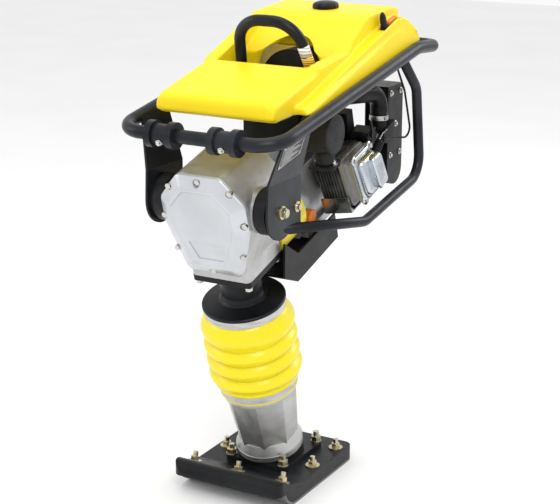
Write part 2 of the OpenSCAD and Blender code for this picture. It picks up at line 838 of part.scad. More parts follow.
module plate_bolts() {
    color("#c9b57a") both_sides() {
        bar_x(mount_y, mount_z, 100, mount_x1 + plate_t + 14, mount_bolt_r);
        bar_x(mount_y, mount_z, mount_x1 + plate_t, mount_x1 + plate_t + 3, 14.5);
        bar_x(mount_y, mount_z, mount_x1 + plate_t + 3, mount_x1 + plate_t + 11, 11.5, $fn = 6);
        bar_x(steady_y, steady_z, mount_x1 - 6, mount_x1 + plate_t + 10, steady_r);
        bar_x(steady_y, steady_z, mount_x1 + plate_t, mount_x1 + plate_t + 3, 12);
    }
}

module bar_collars() {
    color("#222427") both_sides() for (x = [43, 95]) difference() {
        union() {
            bar_x(bar_y, bar_z, x, x + 16, 29);
            if (x < 90) bar_x(bar_y, bar_z, x + 16, 95, 23);
        }
        bar_x(bar_y, bar_z, x - 1, x + 60, handle_r + 0.05);
    }
}

// Outlines in y and z of the tank's front block and side walls, and of its rounded rear part
block_side = concat(arc(-244, 927, 18, 180, 103, 5), [[-60, 988], [-60, 905], [-130, 905],
    [-246, 899], [-262, 907]]);
wall_side = [[-61, 905], [-61, 988], [165, 1071], [180, 1071], [180, 930]];
low_wall_side = [[-61, 905], [-61, 986], [80, 1004], [100, 1018], [100, 930]];
barrel_side = concat([[66, 912], [62, 990], [80, 1006], [103, 1021], [150, 1050], [172, 1064],
    [200, 1073], [318, 1080]], arc(336, 1056, 20, 62, 0, 4), [[370, 1010], [392, 994]]);
wing_side = [[-128, 902], [-168, 905], [-168, 919], [-136, 924], [288, 1055], [322, 1056],
    [352, 1046], [380, 1021], [399, 992]];

module fuel_tank() {
    color("#f7e02c") difference() {
        union() {
            slab_x(-tank_w / 2, tank_w / 2) polygon(block_side);
            slab_x(-tank_w / 2, -112) polygon(wall_side);
            slab_x(112, tank_w / 2) polygon(low_wall_side);
            slab_x(-tank_w / 2, tank_w / 2 - 6) polygon(barrel_side);
            both_sides() intersection() {
                slab_x(128, 179) polygon(wing_side);
                // the wings' outer faces lean in towards the top
                rotate([0, 6, 0]) translate([-120, -400, 700]) cube([210, 900, 500]);
            }
        }
        // hollows for the fuel and under the rear part, for the air cleaner
        slab_x(-tank_w / 2 + tank_wall, tank_w / 2 - 6 - tank_wall) polygon([[110, 1015], [150, 1041],
            [176, 1060], [204, 1068], [318, 1075], [336, 1050], [345, 1015]]);
        slab_x(-tank_w / 2 + 8, tank_w / 2 - 14) polygon([[74, 800], [74, 985], [110, 1008], [330, 1008],
            [380, 990]]);
        slab_x(-tank_w / 2 + tank_wall, tank_w / 2 - tank_wall) polygon([[-256, 909], [-256, 928],
            [-242, 940], [-66, 980], [-66, 909]]);
        // the arch that the air cleaner looks out of
        translate([0, 40, 945]) rotate([-90, 0, 0]) cylinder(h = 60, r = 84);
        translate([-84, 40, 860]) cube([168, 60, 85]);
        translate([0, 246, 1060]) rotate([-4, 0, 0]) cylinder(h = 60, r = 24);
        // slot for the throttle lever
        slab_x(146, 164) polygon([[226, 1010], [216, 1100], [330, 1100], [320, 1030]]);
    }
}

module fuel_cap() {
    color("#232427") translate([0, 246, 1075]) rotate([3.4, 0, 0]) {
        translate([0, 0, -18]) cylinder(h = 19, r = 23);
        translate([0, 0, 1]) cylinder(h = 14, r = 31);
    }
}

hook_top = 186;

module lifting_hook() {
    color("#2a2c30") translate([0, 36, 905]) rotate([22, 0, 0])
        rod(bent([[-100, 0, 0], [-72, 0, hook_top], [72, 0, hook_top], [100, 0, 0]], [0, 66, 66, 0]),
            13, [0, 1, 0], 20);
}

// A round cleaner in the tank's arch, on a box below the tank, with the outlet that the hose fits
module air_cleaner() {
    cleaner_z = 921;
    floor_z = 792;
    hose_turn = atan2(intake_pts[1][0] - intake_pts[0][0], intake_pts[1][1] - intake_pts[0][1]);
    color("#131415") {
        translate([0, 78, cleaner_z]) rotate([-90, 0, 0]) cylinder(h = 70, r = 79);
        translate([0, 74, cleaner_z]) rotate([-90, 0, 0]) cylinder(h = 6, r = 72);
        translate([-79, 84, floor_z]) cube([158, 64, cleaner_z - floor_z]);
        // the box's front part stops short of the muffler
        translate([-84, 6, floor_z]) cube([144, 80, 109]);
        translate(intake_pts[0]) rotate([-90, 0, -hose_turn])
            translate([0, 0, -44]) cylinder(h = 43.7, r = 20);
    }
}

module throttle_lever() {
    color("#1b1c1e") translate([155, 246, 1040]) {
        bar_x(0, 0, -8.6, 8.6, 9);
        translate([-3, -4, 0]) cube([6, 9, 40]);
    }
}

module throttle_cable() {
    color("#151617") rod(bent([[164, 300, 938], [168, 335, 880], [166, 384, 758],
        [152, 247, 778]], [0, 60, 20, 0]), 2.5, [1, 0, 0], 8);
}

intake_pts = [[80, 167, 884], [108, 214, 884], [118, 300, 876], [118, 300, 809]];

module intake_hose() {
    color("#17181a") rod(bent(intake_pts, [0, 60, 42, 0]), 21, [1, 0, 0]);
}

module fuel_hose() {
    color("#17181a") rod(bent([[40, 205, 1007], [44, 230, 900], [80, 300, 852], [84, 329, 852]],
        [0, 60, 37, 0]), 4.5, [1, 0, 0], 8);
}

module data_plate() {
    color("#8b8d8f") translate([mount_x1, 0, 775]) rotate([0, 15, 0])
        slab_x(plate_t + 0.1, plate_t + 0.9) polygon([[-270, 35], [-185, 57], [-180, 105], [-262, 83]]);
}

module starter_grip() {
    color("#1b1c1e") lean() {
        bar_x(fan_t + 62, engine_s - 40, -118, -78, 3);
        bar_x(fan_t + 62, engine_s - 40, -134, -110, 12);
    }
}

shoe();
sole_plate();
shoe_bolts();
foot_flange();
flange_bolts();
foot_casting();
lower_clamp();
spring_cylinder();
cylinder_cap();
lower_spring();
upper_spring();
guide_cylinder();
bellows();
upper_clamp();
crankcase();
front_cover();
cover_gasket();
cover_bolts();
base_bolts();
crank_bearing();
pinion_bearing();
rubber_mounts();
clutch_housing();
engine_block();
engine_barrel();
cylinder_head();
rocker_cover();
rocker_bolts();
engine_shroud();
fan_housing();
muffler();
carburettor();
plug_cap();
oil_plug();
belly_guard();
crank_gear();
con_rod();
piston_rod();
piston();
clutch_drum();
engine_crankshaft();
clutch_shoes();
flywheel();
starter_grip();
choke_lever();
handle_frame();
guard_right();
guard_left();
side_plates();
plate_bolts();
bar_collars();
fuel_tank();
fuel_cap();
lifting_hook();
air_cleaner();
throttle_lever();
throttle_cable();
intake_hose();
fuel_hose();
data_plate();
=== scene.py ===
"""Jumping jack rammer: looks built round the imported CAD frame. Lengths in here are millimetres until mm() turns
them into metres; leg parts use (x, t, s), where s runs up the leaning leg and t runs back from it."""

import json
import math

import bmesh
import bpy
from mathutils import Matrix, Vector


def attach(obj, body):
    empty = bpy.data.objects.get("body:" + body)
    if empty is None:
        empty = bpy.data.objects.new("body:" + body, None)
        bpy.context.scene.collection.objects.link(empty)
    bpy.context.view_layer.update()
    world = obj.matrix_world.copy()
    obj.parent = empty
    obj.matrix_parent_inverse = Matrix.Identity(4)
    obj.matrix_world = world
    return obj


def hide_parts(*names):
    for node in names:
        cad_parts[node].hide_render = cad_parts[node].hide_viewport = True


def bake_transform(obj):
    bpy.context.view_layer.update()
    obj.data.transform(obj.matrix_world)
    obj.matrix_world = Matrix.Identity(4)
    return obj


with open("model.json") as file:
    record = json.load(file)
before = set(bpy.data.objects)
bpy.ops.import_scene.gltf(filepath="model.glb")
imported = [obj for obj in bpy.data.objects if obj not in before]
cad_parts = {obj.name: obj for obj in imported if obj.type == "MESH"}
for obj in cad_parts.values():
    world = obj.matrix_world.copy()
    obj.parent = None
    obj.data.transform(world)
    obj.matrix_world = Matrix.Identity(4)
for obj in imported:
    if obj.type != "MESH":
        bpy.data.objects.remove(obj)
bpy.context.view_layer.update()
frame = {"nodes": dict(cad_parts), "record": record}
nodes = frame["nodes"]

LEAN = math.radians(16.5)
UP = Vector((0, -math.sin(LEAN), math.cos(LEAN)))
BACK = Vector((0, math.cos(LEAN), math.sin(LEAN)))
RIGHT = Vector((1, 0, 0))


# --- helpers ----------------------------------------------------------------------------------


def mm(v):
    return Vector(v) * 0.001


def leg(x, t, s):
    """A point of the leaning frame, as a point in metres."""
    return mm(x * RIGHT + t * BACK + s * UP)


def arc(cx, cy, r, a0, a1, steps=8):
    angles = [math.radians(a0 + (a1 - a0) * i / steps) for i in range(steps + 1)]
    return [(cx + r * math.cos(a), cy + r * math.sin(a)) for a in angles]


def mesh_object(name, verts, faces, smooth=True):
    mesh = bpy.data.meshes.new(name)
    mesh.from_pydata([tuple(v) for v in verts], [], faces)
    obj = bpy.data.objects.new(name, mesh)
    bpy.context.scene.collection.objects.link(obj)
    bm = bmesh.new()
    bm.from_mesh(mesh)
    bmesh.ops.recalc_face_normals(bm, faces=bm.faces)
    bm.to_mesh(mesh)
    bm.free()
    mesh.polygons.foreach_set("use_smooth", [smooth] * len(mesh.polygons))
    return obj


def apply_modifiers(obj):
    deps = bpy.context.evaluated_depsgraph_get()
    mesh = bpy.data.meshes.new_from_object(obj.evaluated_get(deps))
    obj.modifiers.clear()
    obj.data = mesh
    return obj


def bevel(obj, width, segments=3, angle=35):
    m = obj.modifiers.new("bevel", "BEVEL")
    m.width, m.segments, m.angle_limit = width * 0.001, segments, math.radians(angle)
    m.harden_normals = True
    apply_modifiers(obj)
    return obj


def loft(name, rings, closed=False, capped=True):
    """A skin through rings of equal length; each ring is a closed loop of points in metres."""
    n, count = len(rings[0]), len(rings)
    verts = [p for ring in rings for p in ring]
    faces = []
    for i in range(count if closed else count - 1):
        j = (i + 1) % count
        for k in range(n):
            m = (k + 1) % n
            faces.append((i * n + k, j * n + k, j * n + m, i * n + m))
    if capped and not closed:
        faces.append(tuple(range(n)))
        faces.append(tuple(range((count - 1) * n, count * n)))
    return mesh_object(name, verts, faces)


def lathe(name, profile, centre, axis, steps=96, closed=True):
    """Profile of (radius, height) in mm turned about axis through centre: a ring, or a solid with flat ends."""
    axis = Vector(axis).normalized()
    u = axis.orthogonal().normalized()
    v = axis.cross(u)
    rings = []
    for r, h in profile:
        rings.append([centre + mm(axis * h + r * (math.cos(a) * u + math.sin(a) * v))
                      for a in (2 * math.pi * k / steps for k in range(steps))])
    return loft(name, rings, closed=closed)


def bent_route(points, radii, step=6):
    """Points along straight runs joined by bends of the given radii."""
    pts = [Vector(p) for p in points]
    route = [pts[0]]
    for i in range(1, len(pts) - 1):
        d1 = (pts[i] - pts[i - 1]).normalized()
        d2 = (pts[i + 1] - pts[i]).normalized()
        angle = d1.angle(d2)
        inward = (d2 - d1.dot(d2) * d1).normalized()
        start = pts[i] - d1 * radii[i] * math.tan(angle / 2)
        steps = max(2, math.ceil(math.degrees(angle) / step))
        for k in range(steps + 1):
            a = angle * k / steps
            route.append(start + radii[i] * ((1 - math.cos(a)) * inward + math.sin(a) * d1))
    route.append(pts[-1])
    return route


def tube(name, route, radius, side, closed=False, sides=28):
    """A round tube through route, in mm; radius may be a number or one per point."""
    n = len(route)
    rings = []
    for i, p in enumerate(route):
        before = route[i - 1] if closed or i else p
        after = route[(i + 1) % n] if closed or i < n - 1 else p
        d = (after - before).normalized()
        u = d.cross(Vector(side)).normalized()
        v = d.cross(u)
        r = radius[i] if isinstance(radius, list) else radius
        rings.append([mm(p + r * (math.cos(a) * u + math.sin(a) * v))
                      for a in (2 * math.pi * k / sides for k in range(sides))])
    return loft(name, rings, closed=closed)


def prism(name, outline, frame_of, lo, hi):
    """An outline pushed from lo to hi; frame_of(a, b, c) places outline point (a, b) at depth c."""
    n = len(outline)
    verts = [frame_of(a, b, c) for c in (lo, hi) for a, b in outline]
    faces = [tuple(range(n)), tuple(range(n, 2 * n))]
    faces += [(k, (k + 1) % n, n + (k + 1) % n, n + k) for k in range(n)]
    return mesh_object(name, verts, faces, smooth=False)


def across(y, z, x):
    return mm((x, y, z))


def along_leg(x, s, t):
    return leg(x, t, s)


def rounded(w, d, r, steps=4):
    """A rounded rectangle's outline about the origin."""
    corners = [(w / 2 - r, d / 2 - r, 0), (r - w / 2, d / 2 - r, 90),
               (r - w / 2, r - d / 2, 180), (w / 2 - r, r - d / 2, 270)]
    return [p for cx, cy, a in corners for p in arc(cx, cy, r, a, a + 90, steps)]


def join(name, parts):
    bm = bmesh.new()
    for p in parts:
        bm.from_mesh(p.data)
        bpy.data.objects.remove(p)
    mesh = bpy.data.meshes.new(name)
    bm.to_mesh(mesh)
    bm.free()
    obj = bpy.data.objects.new(name, mesh)
    bpy.context.scene.collection.objects.link(obj)
    return obj


def cut(obj, *tools):
    for tool in tools:
        m = obj.modifiers.new("cut", "BOOLEAN")
        m.object, m.operation, m.solver = tool, "DIFFERENCE", "EXACT"
        apply_modifiers(obj)
        bpy.data.objects.remove(tool)
    return obj


def spread(route, gap):
    """More points along the straight stretches of a route, none further apart than gap."""
    out = [route[0]]
    for a, b in zip(route, route[1:]):
        count = max(1, math.ceil((b - a).length / gap))
        out += [a.lerp(b, k / count) for k in range(1, count + 1)]
    return out


def hex_bolt(place, axis, across, high, washer, dome=0.0):
    """A hexagon head on its washer, with a stud end of height dome; place is in metres."""
    parts = [lathe("w", [(0.4, 0), (washer - 0.6, 0), (washer, 0.4), (washer, 1.6), (washer - 0.6, 2), (0.4, 2)],
                   place, axis, 32, False),
             lathe("h", [(0.4, 1.8), (across, 1.8), (across, high - 0.8), (across * 0.86, high), (0.4, high)],
                   place, axis, 6, False)]
    if dome:
        r = across * 0.52
        parts.append(lathe("d", [(0.4, 2), (r, 2), (r, high + dome - 1.5), (r * 0.75, high + dome),
                           (0.4, high + dome)],
                           place, axis, 20, False))
    for part in parts:
        part.data.polygons.foreach_set("use_smooth", [False] * len(part.data.polygons))
    return join("b", parts)


def soften(obj, voxel, rounds):
    """Fuses a body's overlapping solids into one skin and rounds its edges, as a moulding's are."""
    m = obj.modifiers.new("fuse", "REMESH")
    m.mode, m.voxel_size = "VOXEL", voxel * 0.001
    m.use_smooth_shade = True
    s = obj.modifiers.new("round", "SMOOTH")
    s.factor, s.iterations = 0.5, rounds
    apply_modifiers(obj)
    obj.data.polygons.foreach_set("use_smooth", [True] * len(obj.data.polygons))
    return obj


def finish_piece(obj, material, body=None, stands_for=()):
    obj.data.materials.clear()
    obj.data.materials.append(material)
    if body:
        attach(obj, body)
    if stands_for:
        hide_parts(*stands_for)
    return obj


# --- materials --------------------------------------------------------------------------------


class Shader:
    """A principled material with its noise, bump and edge rounding built from a few numbers."""

    def __init__(self, name, colour, rough, metallic=0.0, gloss=0.5):
        self.material = bpy.data.materials.new(name)
        self.material.use_nodes = True
        self.tree = self.material.node_tree
        self.bsdf = self.tree.nodes["Principled BSDF"]
        self.coords = self.node("ShaderNodeTexCoord").outputs["Object"]
        self.bsdf.inputs["Base Color"].default_value = (*colour, 1)
        self.bsdf.inputs["Roughness"].default_value = rough
        self.bsdf.inputs["Metallic"].default_value = metallic
        self.bsdf.inputs["Specular IOR Level"].default_value = gloss
        self.colour = colour
        self.rough = rough
        self.normal = None

    def node(self, kind, **values):
        n = self.tree.nodes.new(kind)
        for key, value in values.items():
            setattr(n, key, value)
        return n

    def link(self, a, b):
        self.tree.links.new(a, b)

    def noise(self, scale, detail=4.0, stretch=None):
        n = self.node("ShaderNodeTexNoise")
        n.inputs["Scale"].default_value = scale
        n.inputs["Detail"].default_value = detail
        source = self.coords
        if stretch:
            m = self.node("ShaderNodeMapping")
            m.inputs["Scale"].default_value = stretch
            self.link(source, m.inputs["Vector"])
            source = m.outputs["Vector"]
        self.link(source, n.inputs["Vector"])
        return n.outputs["Fac"]

    def ramp(self, source, low, high, a, b):
        r = self.node("ShaderNodeMapRange")
        for key, value in zip(("From Min", "From Max", "To Min", "To Max"), (low, high, a, b)):
            r.inputs[key].default_value = value
        self.link(source, r.inputs["Value"])
        return r.outputs["Result"]

    def tint(self, source, other, low=0.4, high=0.65, amount=1.0):
        """Mixes towards other where source is high."""
        m = self.node("ShaderNodeMix", data_type="RGBA")
        old = self.bsdf.inputs["Base Color"]
        if old.is_linked:
            self.link(old.links[0].from_socket, m.inputs[6])
        else:
            m.inputs[6].default_value = (*self.colour, 1)
        m.inputs[7].default_value = (*other, 1)
        self.link(self.ramp(source, low, high, 0, amount), m.inputs["Factor"])
        self.link(m.outputs[2], old)
        return self

    def vary_rough(self, source, spread):
        self.link(self.ramp(source, 0.3, 0.7, self.rough - spread, self.rough + spread),
                  self.bsdf.inputs["Roughness"])
        return self

    def bump(self, source, height, strength=1.0):
        b = self.node("ShaderNodeBump")
        b.inputs["Strength"].default_value = strength
        b.inputs["Distance"].default_value = height * 0.001
        self.link(source, b.inputs["Height"])
        if self.normal:
            self.link(self.normal, b.inputs["Normal"])
        self.normal = b.outputs["Normal"]
        self.link(self.normal, self.bsdf.inputs["Normal"])
        return self

    def edges(self, radius):
        """Rounds sharp edges in shading, radius in mm."""
        b = self.node("ShaderNodeBevel", samples=4)
        b.inputs["Radius"].default_value = radius * 0.001
        self.normal = b.outputs["Normal"]
        self.link(self.normal, self.bsdf.inputs["Normal"])
        return self

    def coat(self, weight, rough):
        self.bsdf.inputs["Coat Weight"].default_value = weight
        self.bsdf.inputs["Coat Roughness"].default_value = rough
        return self


def grey(v, warm=0.0):
    return (v * (1 + warm), v, v * (1 - warm))


def black_paint():
    s = Shader("black_paint", (0.003, 0.0034, 0.0044), 0.36, 0.0, 0.2).edges(1.2)
    s.tint(s.noise(9), (0.011, 0.012, 0.014)).vary_rough(s.noise(35), 0.06)
    return s.bump(s.noise(420, 3), 0.12, 0.35).material


def tube_paint():
    s = Shader("tube_paint", (0.0045, 0.0055, 0.008), 0.32, 0.0, 0.24).edges(0.6)
    s.tint(s.noise(7), (0.018, 0.02, 0.026)).vary_rough(s.noise(60), 0.05)
    return s.bump(s.noise(520, 2), 0.15, 0.4).material


def cast_aluminium():
    s = Shader("cast_aluminium", grey(0.5), 0.42, 0.85).edges(1.5)
    s.tint(s.noise(14), grey(0.4, 0.01)).vary_rough(s.noise(50), 0.09)
    return s.bump(s.noise(330, 5), 0.35, 0.5).material


def silver_paint():
    s = Shader("silver_paint", (0.56, 0.575, 0.6), 0.34, 0.55).edges(0.8)
    s.tint(s.noise(12), (0.5, 0.515, 0.54)).vary_rough(s.noise(70), 0.05)
    return s.bump(s.noise(800, 2), 0.06, 0.4).coat(0.25, 0.2).material


def bright_cast():
    s = Shader("bright_cast", (0.62, 0.66, 0.7), 0.2, 1.0).edges(1.0)
    s.tint(s.noise(20), (0.46, 0.5, 0.55)).vary_rough(s.noise(60), 0.07)
    return s.bump(s.noise(260, 4), 0.25, 0.4).material


def machined_steel():
    s = Shader("machined_steel", grey(0.46), 0.28, 1.0).edges(0.5)
    s.vary_rough(s.noise(40), 0.06)
    return s.bump(s.noise(60, 3, (1, 1, 22)), 0.04, 0.5).material


def dark_steel():
    s = Shader("dark_steel", grey(0.2), 0.42, 0.9).edges(0.6)
    s.tint(s.noise(25), (0.16, 0.13, 0.11), 0.5, 0.75, 0.7).vary_rough(s.noise(50), 0.1)
    return s.bump(s.noise(300, 4), 0.2, 0.4).material


def gold_zinc():
    s = Shader("gold_zinc", (0.62, 0.53, 0.32), 0.3, 1.0).edges(0.5)
    s.tint(s.noise(60), (0.5, 0.52, 0.44), 0.42, 0.62).tint(s.noise(95), (0.62, 0.42, 0.3), 0.56, 0.72, 0.6)
    return s.vary_rough(s.noise(120), 0.08).bump(s.noise(500, 3), 0.1, 0.4).material


def silver_zinc():
    s = Shader("silver_zinc", (0.62, 0.61, 0.56), 0.28, 1.0).edges(0.4)
    s.tint(s.noise(80), (0.5, 0.5, 0.5)).vary_rough(s.noise(120), 0.08)
    return s.bump(s.noise(450, 3), 0.08, 0.4).material


def band_steel():
    s = Shader("band_steel", grey(0.55), 0.34, 1.0).edges(0.5)
    s.tint(s.noise(16, 3, (1, 1, 6)), grey(0.42)).vary_rough(s.noise(40), 0.08)
    return s.bump(s.noise(90, 3, (1, 1, 18)), 0.08, 0.5).material


def yellow_rubber():
    s = Shader("yellow_rubber", (0.78, 0.66, 0.003), 0.3, 0.0, 0.35)
    s.tint(s.noise(6), (0.8, 0.67, 0.002)).vary_rough(s.noise(30), 0.05)
    return s.bump(s.noise(160, 3), 0.12, 0.25).coat(0.3, 0.1).material


def yellow_tank():
    s = Shader("yellow_tank", (0.86, 0.64, 0.006), 0.4, 0.0, 0.32)
    s.tint(s.noise(5), (0.89, 0.68, 0.005)).vary_rough(s.noise(45), 0.05)
    return s.bump(s.noise(620, 3), 0.1, 0.35).material


def yellow_paint():
    s = Shader("yellow_paint", (0.78, 0.62, 0.02), 0.4).edges(1.0)
    s.tint(s.noise(22), (0.6, 0.46, 0.03), 0.52, 0.75, 0.7).vary_rough(s.noise(60), 0.08)
    return s.bump(s.noise(300, 4), 0.25, 0.4).material


def rubber():
    s = Shader("rubber", (0.004, 0.004, 0.005), 0.42, 0.0, 0.2).edges(1.2)
    s.tint(s.noise(18), (0.014, 0.014, 0.016)).vary_rough(s.noise(60), 0.1)
    return s.bump(s.noise(380, 4), 0.2, 0.4).material


def black_plastic():
    s = Shader("black_plastic", (0.0035, 0.004, 0.005), 0.38, 0.0, 0.2).edges(1.2)
    s.tint(s.noise(16), (0.011, 0.011, 0.013)).vary_rough(s.noise(45), 0.07)
    return s.bump(s.noise(700, 3), 0.12, 0.4).material


def heat_paint():
    s = Shader("heat_paint", (0.008, 0.009, 0.012), 0.5, 0.2, 0.28).edges(1.5)
    s.tint(s.noise(24), (0.022, 0.021, 0.022)).vary_rough(s.noise(60), 0.08)
    return s.bump(s.noise(520, 4), 0.2, 0.45).material


def cast_iron():
    s = Shader("cast_iron", grey(0.035), 0.6, 0.4).edges(0.5)
    s.tint(s.noise(30), grey(0.12)).vary_rough(s.noise(60), 0.1)
    return s.bump(s.noise(420, 5), 0.3, 0.5).material


def orange_plastic():
    s = Shader("orange_plastic", (0.78, 0.22, 0.01), 0.4).edges(0.8)
    s.tint(s.noise(30), (0.62, 0.16, 0.01)).vary_rough(s.noise(60), 0.08)
    return s.bump(s.noise(400, 3), 0.12, 0.4).material


def label(name, ground, ink, bands):
    """A printed label: plain bands of ink across its height, with no lettering."""
    s = Shader(name, ground, 0.35)
    wave = s.node("ShaderNodeTexWave", bands_direction="Z")
    wave.inputs["Scale"].default_value = bands
    wave.inputs["Distortion"].default_value = 1.2
    s.link(s.coords, wave.inputs["Vector"])
    s.tint(wave.outputs["Fac"], ink, 0.7, 0.86).vary_rough(s.noise(60), 0.05)
    return s.bump(s.noise(600, 2), 0.04, 0.3).material


def lining():
    s = Shader("lining", (0.16, 0.11, 0.07), 0.8)
    s.tint(s.noise(90), (0.25, 0.2, 0.12))
    return s.bump(s.noise(300, 5), 0.3, 0.5).material


def plate_field():
    s = Shader("plate_field", (0.006, 0.006, 0.007), 0.4, 0.3)
    s.tint(s.noise(40), (0.06, 0.06, 0.065)).vary_rough(s.noise(80), 0.06)
    return s.bump(s.noise(500, 3), 0.05, 0.3).material


def gasket():
    s = Shader("gasket", (0.1, 0.075, 0.05), 0.75)
    s.tint(s.noise(60), (0.06, 0.05, 0.04))
    return s.bump(s.noise(300, 4), 0.1, 0.4).material


MATERIALS = {
    "black_paint": black_paint(), "tube_paint": tube_paint(), "cast_aluminium": cast_aluminium(),
    "silver_paint": silver_paint(), "bright_cover": bright_cast(), "machined_steel": machined_steel(),
    "worn_steel": dark_steel(), "spring_steel": dark_steel(), "gold_zinc": gold_zinc(),
    "silver_zinc": silver_zinc(), "band_steel": band_steel(), "yellow_bellows": yellow_rubber(),
    "yellow_tank": yellow_tank(), "yellow_paint": yellow_paint(), "black_rubber": rubber(),
    "black_plastic": black_plastic(), "heat_paint": heat_paint(), "cast_iron": cast_iron(),
    "orange_plastic": orange_plastic(), "clutch_lining": lining(), "gasket_paper": gasket(),
    "plate_metal": band_steel(), "plate_field": plate_field(),
    "white_label": label("white_label", (0.85, 0.85, 0.86), (0.3, 0.31, 0.36), 42),
    "amber_label": label("amber_label", (0.86, 0.5, 0.03), (0.1, 0.07, 0.04), 60),
}
LOOK_OF_NODE = {
    "lower_clamp": "band_steel", "upper_clamp": "band_steel", "muffler": "heat_paint",
    "engine_shroud": "bright_cover",
    "side_plates": "tube_paint", "bar_collars": "tube_paint", "spring_cylinder": "machined_steel",
}
for part in frame["record"]["subparts"]:
    look = LOOK_OF_NODE.get(part["node"], part["material_slot"])
    mesh = nodes[part["node"]].data
    mesh.materials.clear()
    mesh.materials.append(MATERIALS[look])


# --- camera and light -------------------------------------------------------------------------


def add_camera():
    data = bpy.data.cameras.new("camera")
    data.lens = 95.3
    camera = bpy.data.objects.new("camera", data)
    camera.location = (1.6343, -2.8609, 1.5092)
    camera.rotation_euler = (math.radians(73.6), 0, math.radians(29.5))
    bpy.context.scene.collection.objects.link(camera)
    bpy.context.scene.camera = camera


def add_area(name, place, target, size, power, colour=(1, 1, 1)):
    data = bpy.data.lights.new(name, "AREA")
    data.shape, data.size, data.energy, data.color = "SQUARE", size, power, colour
    light = bpy.data.objects.new(name, data)
    light.location = place
    light.rotation_euler = (Vector(target) - Vector(place)).to_track_quat("-Z", "Y").to_euler()
    bpy.context.scene.collection.objects.link(light)


def add_stage():
    bpy.context.scene.view_settings.view_transform = "Standard"
    world = bpy.data.worlds.new("studio")
    bpy.context.scene.world = world
    world.use_nodes = True
    world.node_tree.nodes["Background"].inputs["Color"].default_value = (1, 1, 1, 1)
    world.node_tree.nodes["Background"].inputs["Strength"].default_value = 0.96
    s = Shader("floor", (0.88, 0.88, 0.88), 0.7)
    s.tint(s.noise(2), (0.86, 0.86, 0.865))
    floor = mesh_object("floor", [(-9, -9, 0), (9, -9, 0), (9, 9, 0), (-9, 9, 0)], [(0, 1, 2, 3)])
    floor.location.z = -0.0005
    floor.data.materials.append(s.material)
    add_area("key", (1.6, -2.4, 3.0), (0, 0, 0.6), 1.6, 45)
    add_area("fill", (-3.0, -1.6, 2.0), (0, 0, 0.6), 2.0, 22)
    add_area("rim", (1.8, 2.8, 2.6), (0, 0, 0.6), 1.6, 30)
    add_area("top", (0, 0, 4.0), (0, 0, 0), 2.5, 30)


add_camera()
add_stage()


# --- leg --------------------------------------------------------------------------------------

CASTING_TOP = 248
CLAMP_LOW, CLAMP_HIGH, CLAMP_H = CASTING_TOP + 6, 463, 18
LIP, BELLOWS_TOP = CASTING_TOP + 2, 481
GROOVE_R, CREST_R, FOLDS = 97, 109, 4
FOLD_LOW, FOLD_TOP, FOLD_EXTRA = CLAMP_LOW + CLAMP_H + 13, CLAMP_HIGH - 8, 12.6
FOLD_H = (FOLD_TOP - FOLD_LOW - FOLD_EXTRA) / FOLDS


def bellows():
    """A moulded bellows: round convolutions with tight grooves between them, and a cuff at each end."""
    cuff = CLAMP_LOW + CLAMP_H
    outer = [(87, LIP), (89.5, LIP), (91.5, LIP + 1), (91.5, LIP + 3), (88.4, LIP + 4), (88.4, cuff), (90, cuff + 0.6),
             (94, cuff + 2), (98, cuff + 5), (99.5, cuff + 8), (99, cuff + 10.5)]
    base = FOLD_LOW
    for i in range(FOLDS):
        height = FOLD_H + (FOLD_EXTRA if i == FOLDS - 1 else 0)
        for k in range(19):
            swell = (1 - math.cos(2 * math.pi * k / 18)) / 2
            outer.append((GROOVE_R + (CREST_R - GROOVE_R) * swell ** 0.6, base + height * k / 18))
        base += height
    outer += [(95, FOLD_TOP + 3), (92, FOLD_TOP + 6), (90.4, CLAMP_HIGH - 0.5), (90.2, BELLOWS_TOP)]
    wall = 4
    inner = [(r - wall, h) for r, h in reversed(outer)]
    obj = lathe("bellows_skin", outer + inner, Vector((0, 0, 0)), UP, 128)
    finish_piece(obj, MATERIALS["yellow_bellows"], None, ["bellows"])
    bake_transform(obj)


bellows()

# --- crankcase cover --------------------------------------------------------------------------

CASE_TOP = 846
COVER_BOLTS = [(0, 834), (76, 816), (100, 742), (84, 662), (0, 614), (-84, 662), (-100, 742), (-76, 816)]


def half_shield(m):
    """Right half of the crankcase's outline, top to bottom, drawn in by m."""
    return (arc(44 - 0.3 * m, CASE_TOP - 22 - 0.4 * m, 22 - 0.6 * m, 90, 45, 8)
            + arc(80 - 0.4 * m, CASE_TOP - 70 - 0.2 * m, 26 - 0.6 * m, 45, 0, 8)
            + arc(80 - 0.4 * m, CASE_TOP - 116, 26 - 0.6 * m, 0, -17, 5)
            + arc(54 - 0.4 * m, 626 + 0.4 * m, 20 - 0.6 * m, -17, -75, 8))


def shield(m, t):
    half = half_shield(m)
    return [leg(x, t, s) for x, s in half] + [leg(-x, t, s) for x, s in reversed(half)]


def front_cover():
    steps = [(0, -79.3), (0, -85), (0.5, -86.6), (1.8, -88.2), (4, -89.6), (12, -95.2), (20, -100.6),
             (23, -102.6), (26, -104.2), (28.5, -104.9), (30.5, -104.9), (32, -104), (33, -102.4), (34.5, -101.6)]
    obj = loft("cover_shell", [shield(m, t) for m, t in steps])
    pockets = []
    for x, s in COVER_BOLTS:
        bore = [leg(x + 9 * math.cos(a), 0, s + 9 * math.sin(a)) for a in
                (2 * math.pi * k / 32 for k in range(32))]
        pockets.append(loft("pocket", [[p + mm(BACK * t) for p in bore] for t in (-120, -89.5)]))
    plate_seat = [(-44, 690), (46, 690), (37, 650), (-25, 650)]
    pockets.append(prism("seat", plate_seat, along_leg, -110, -99.8))
    cut(obj, *pockets)
    bevel(obj, 0.9, 2, 40)
    finish_piece(obj, MATERIALS["silver_paint"], "machine", ["front_cover"])


front_cover()

# --- handle -----------------------------------------------------------------------------------

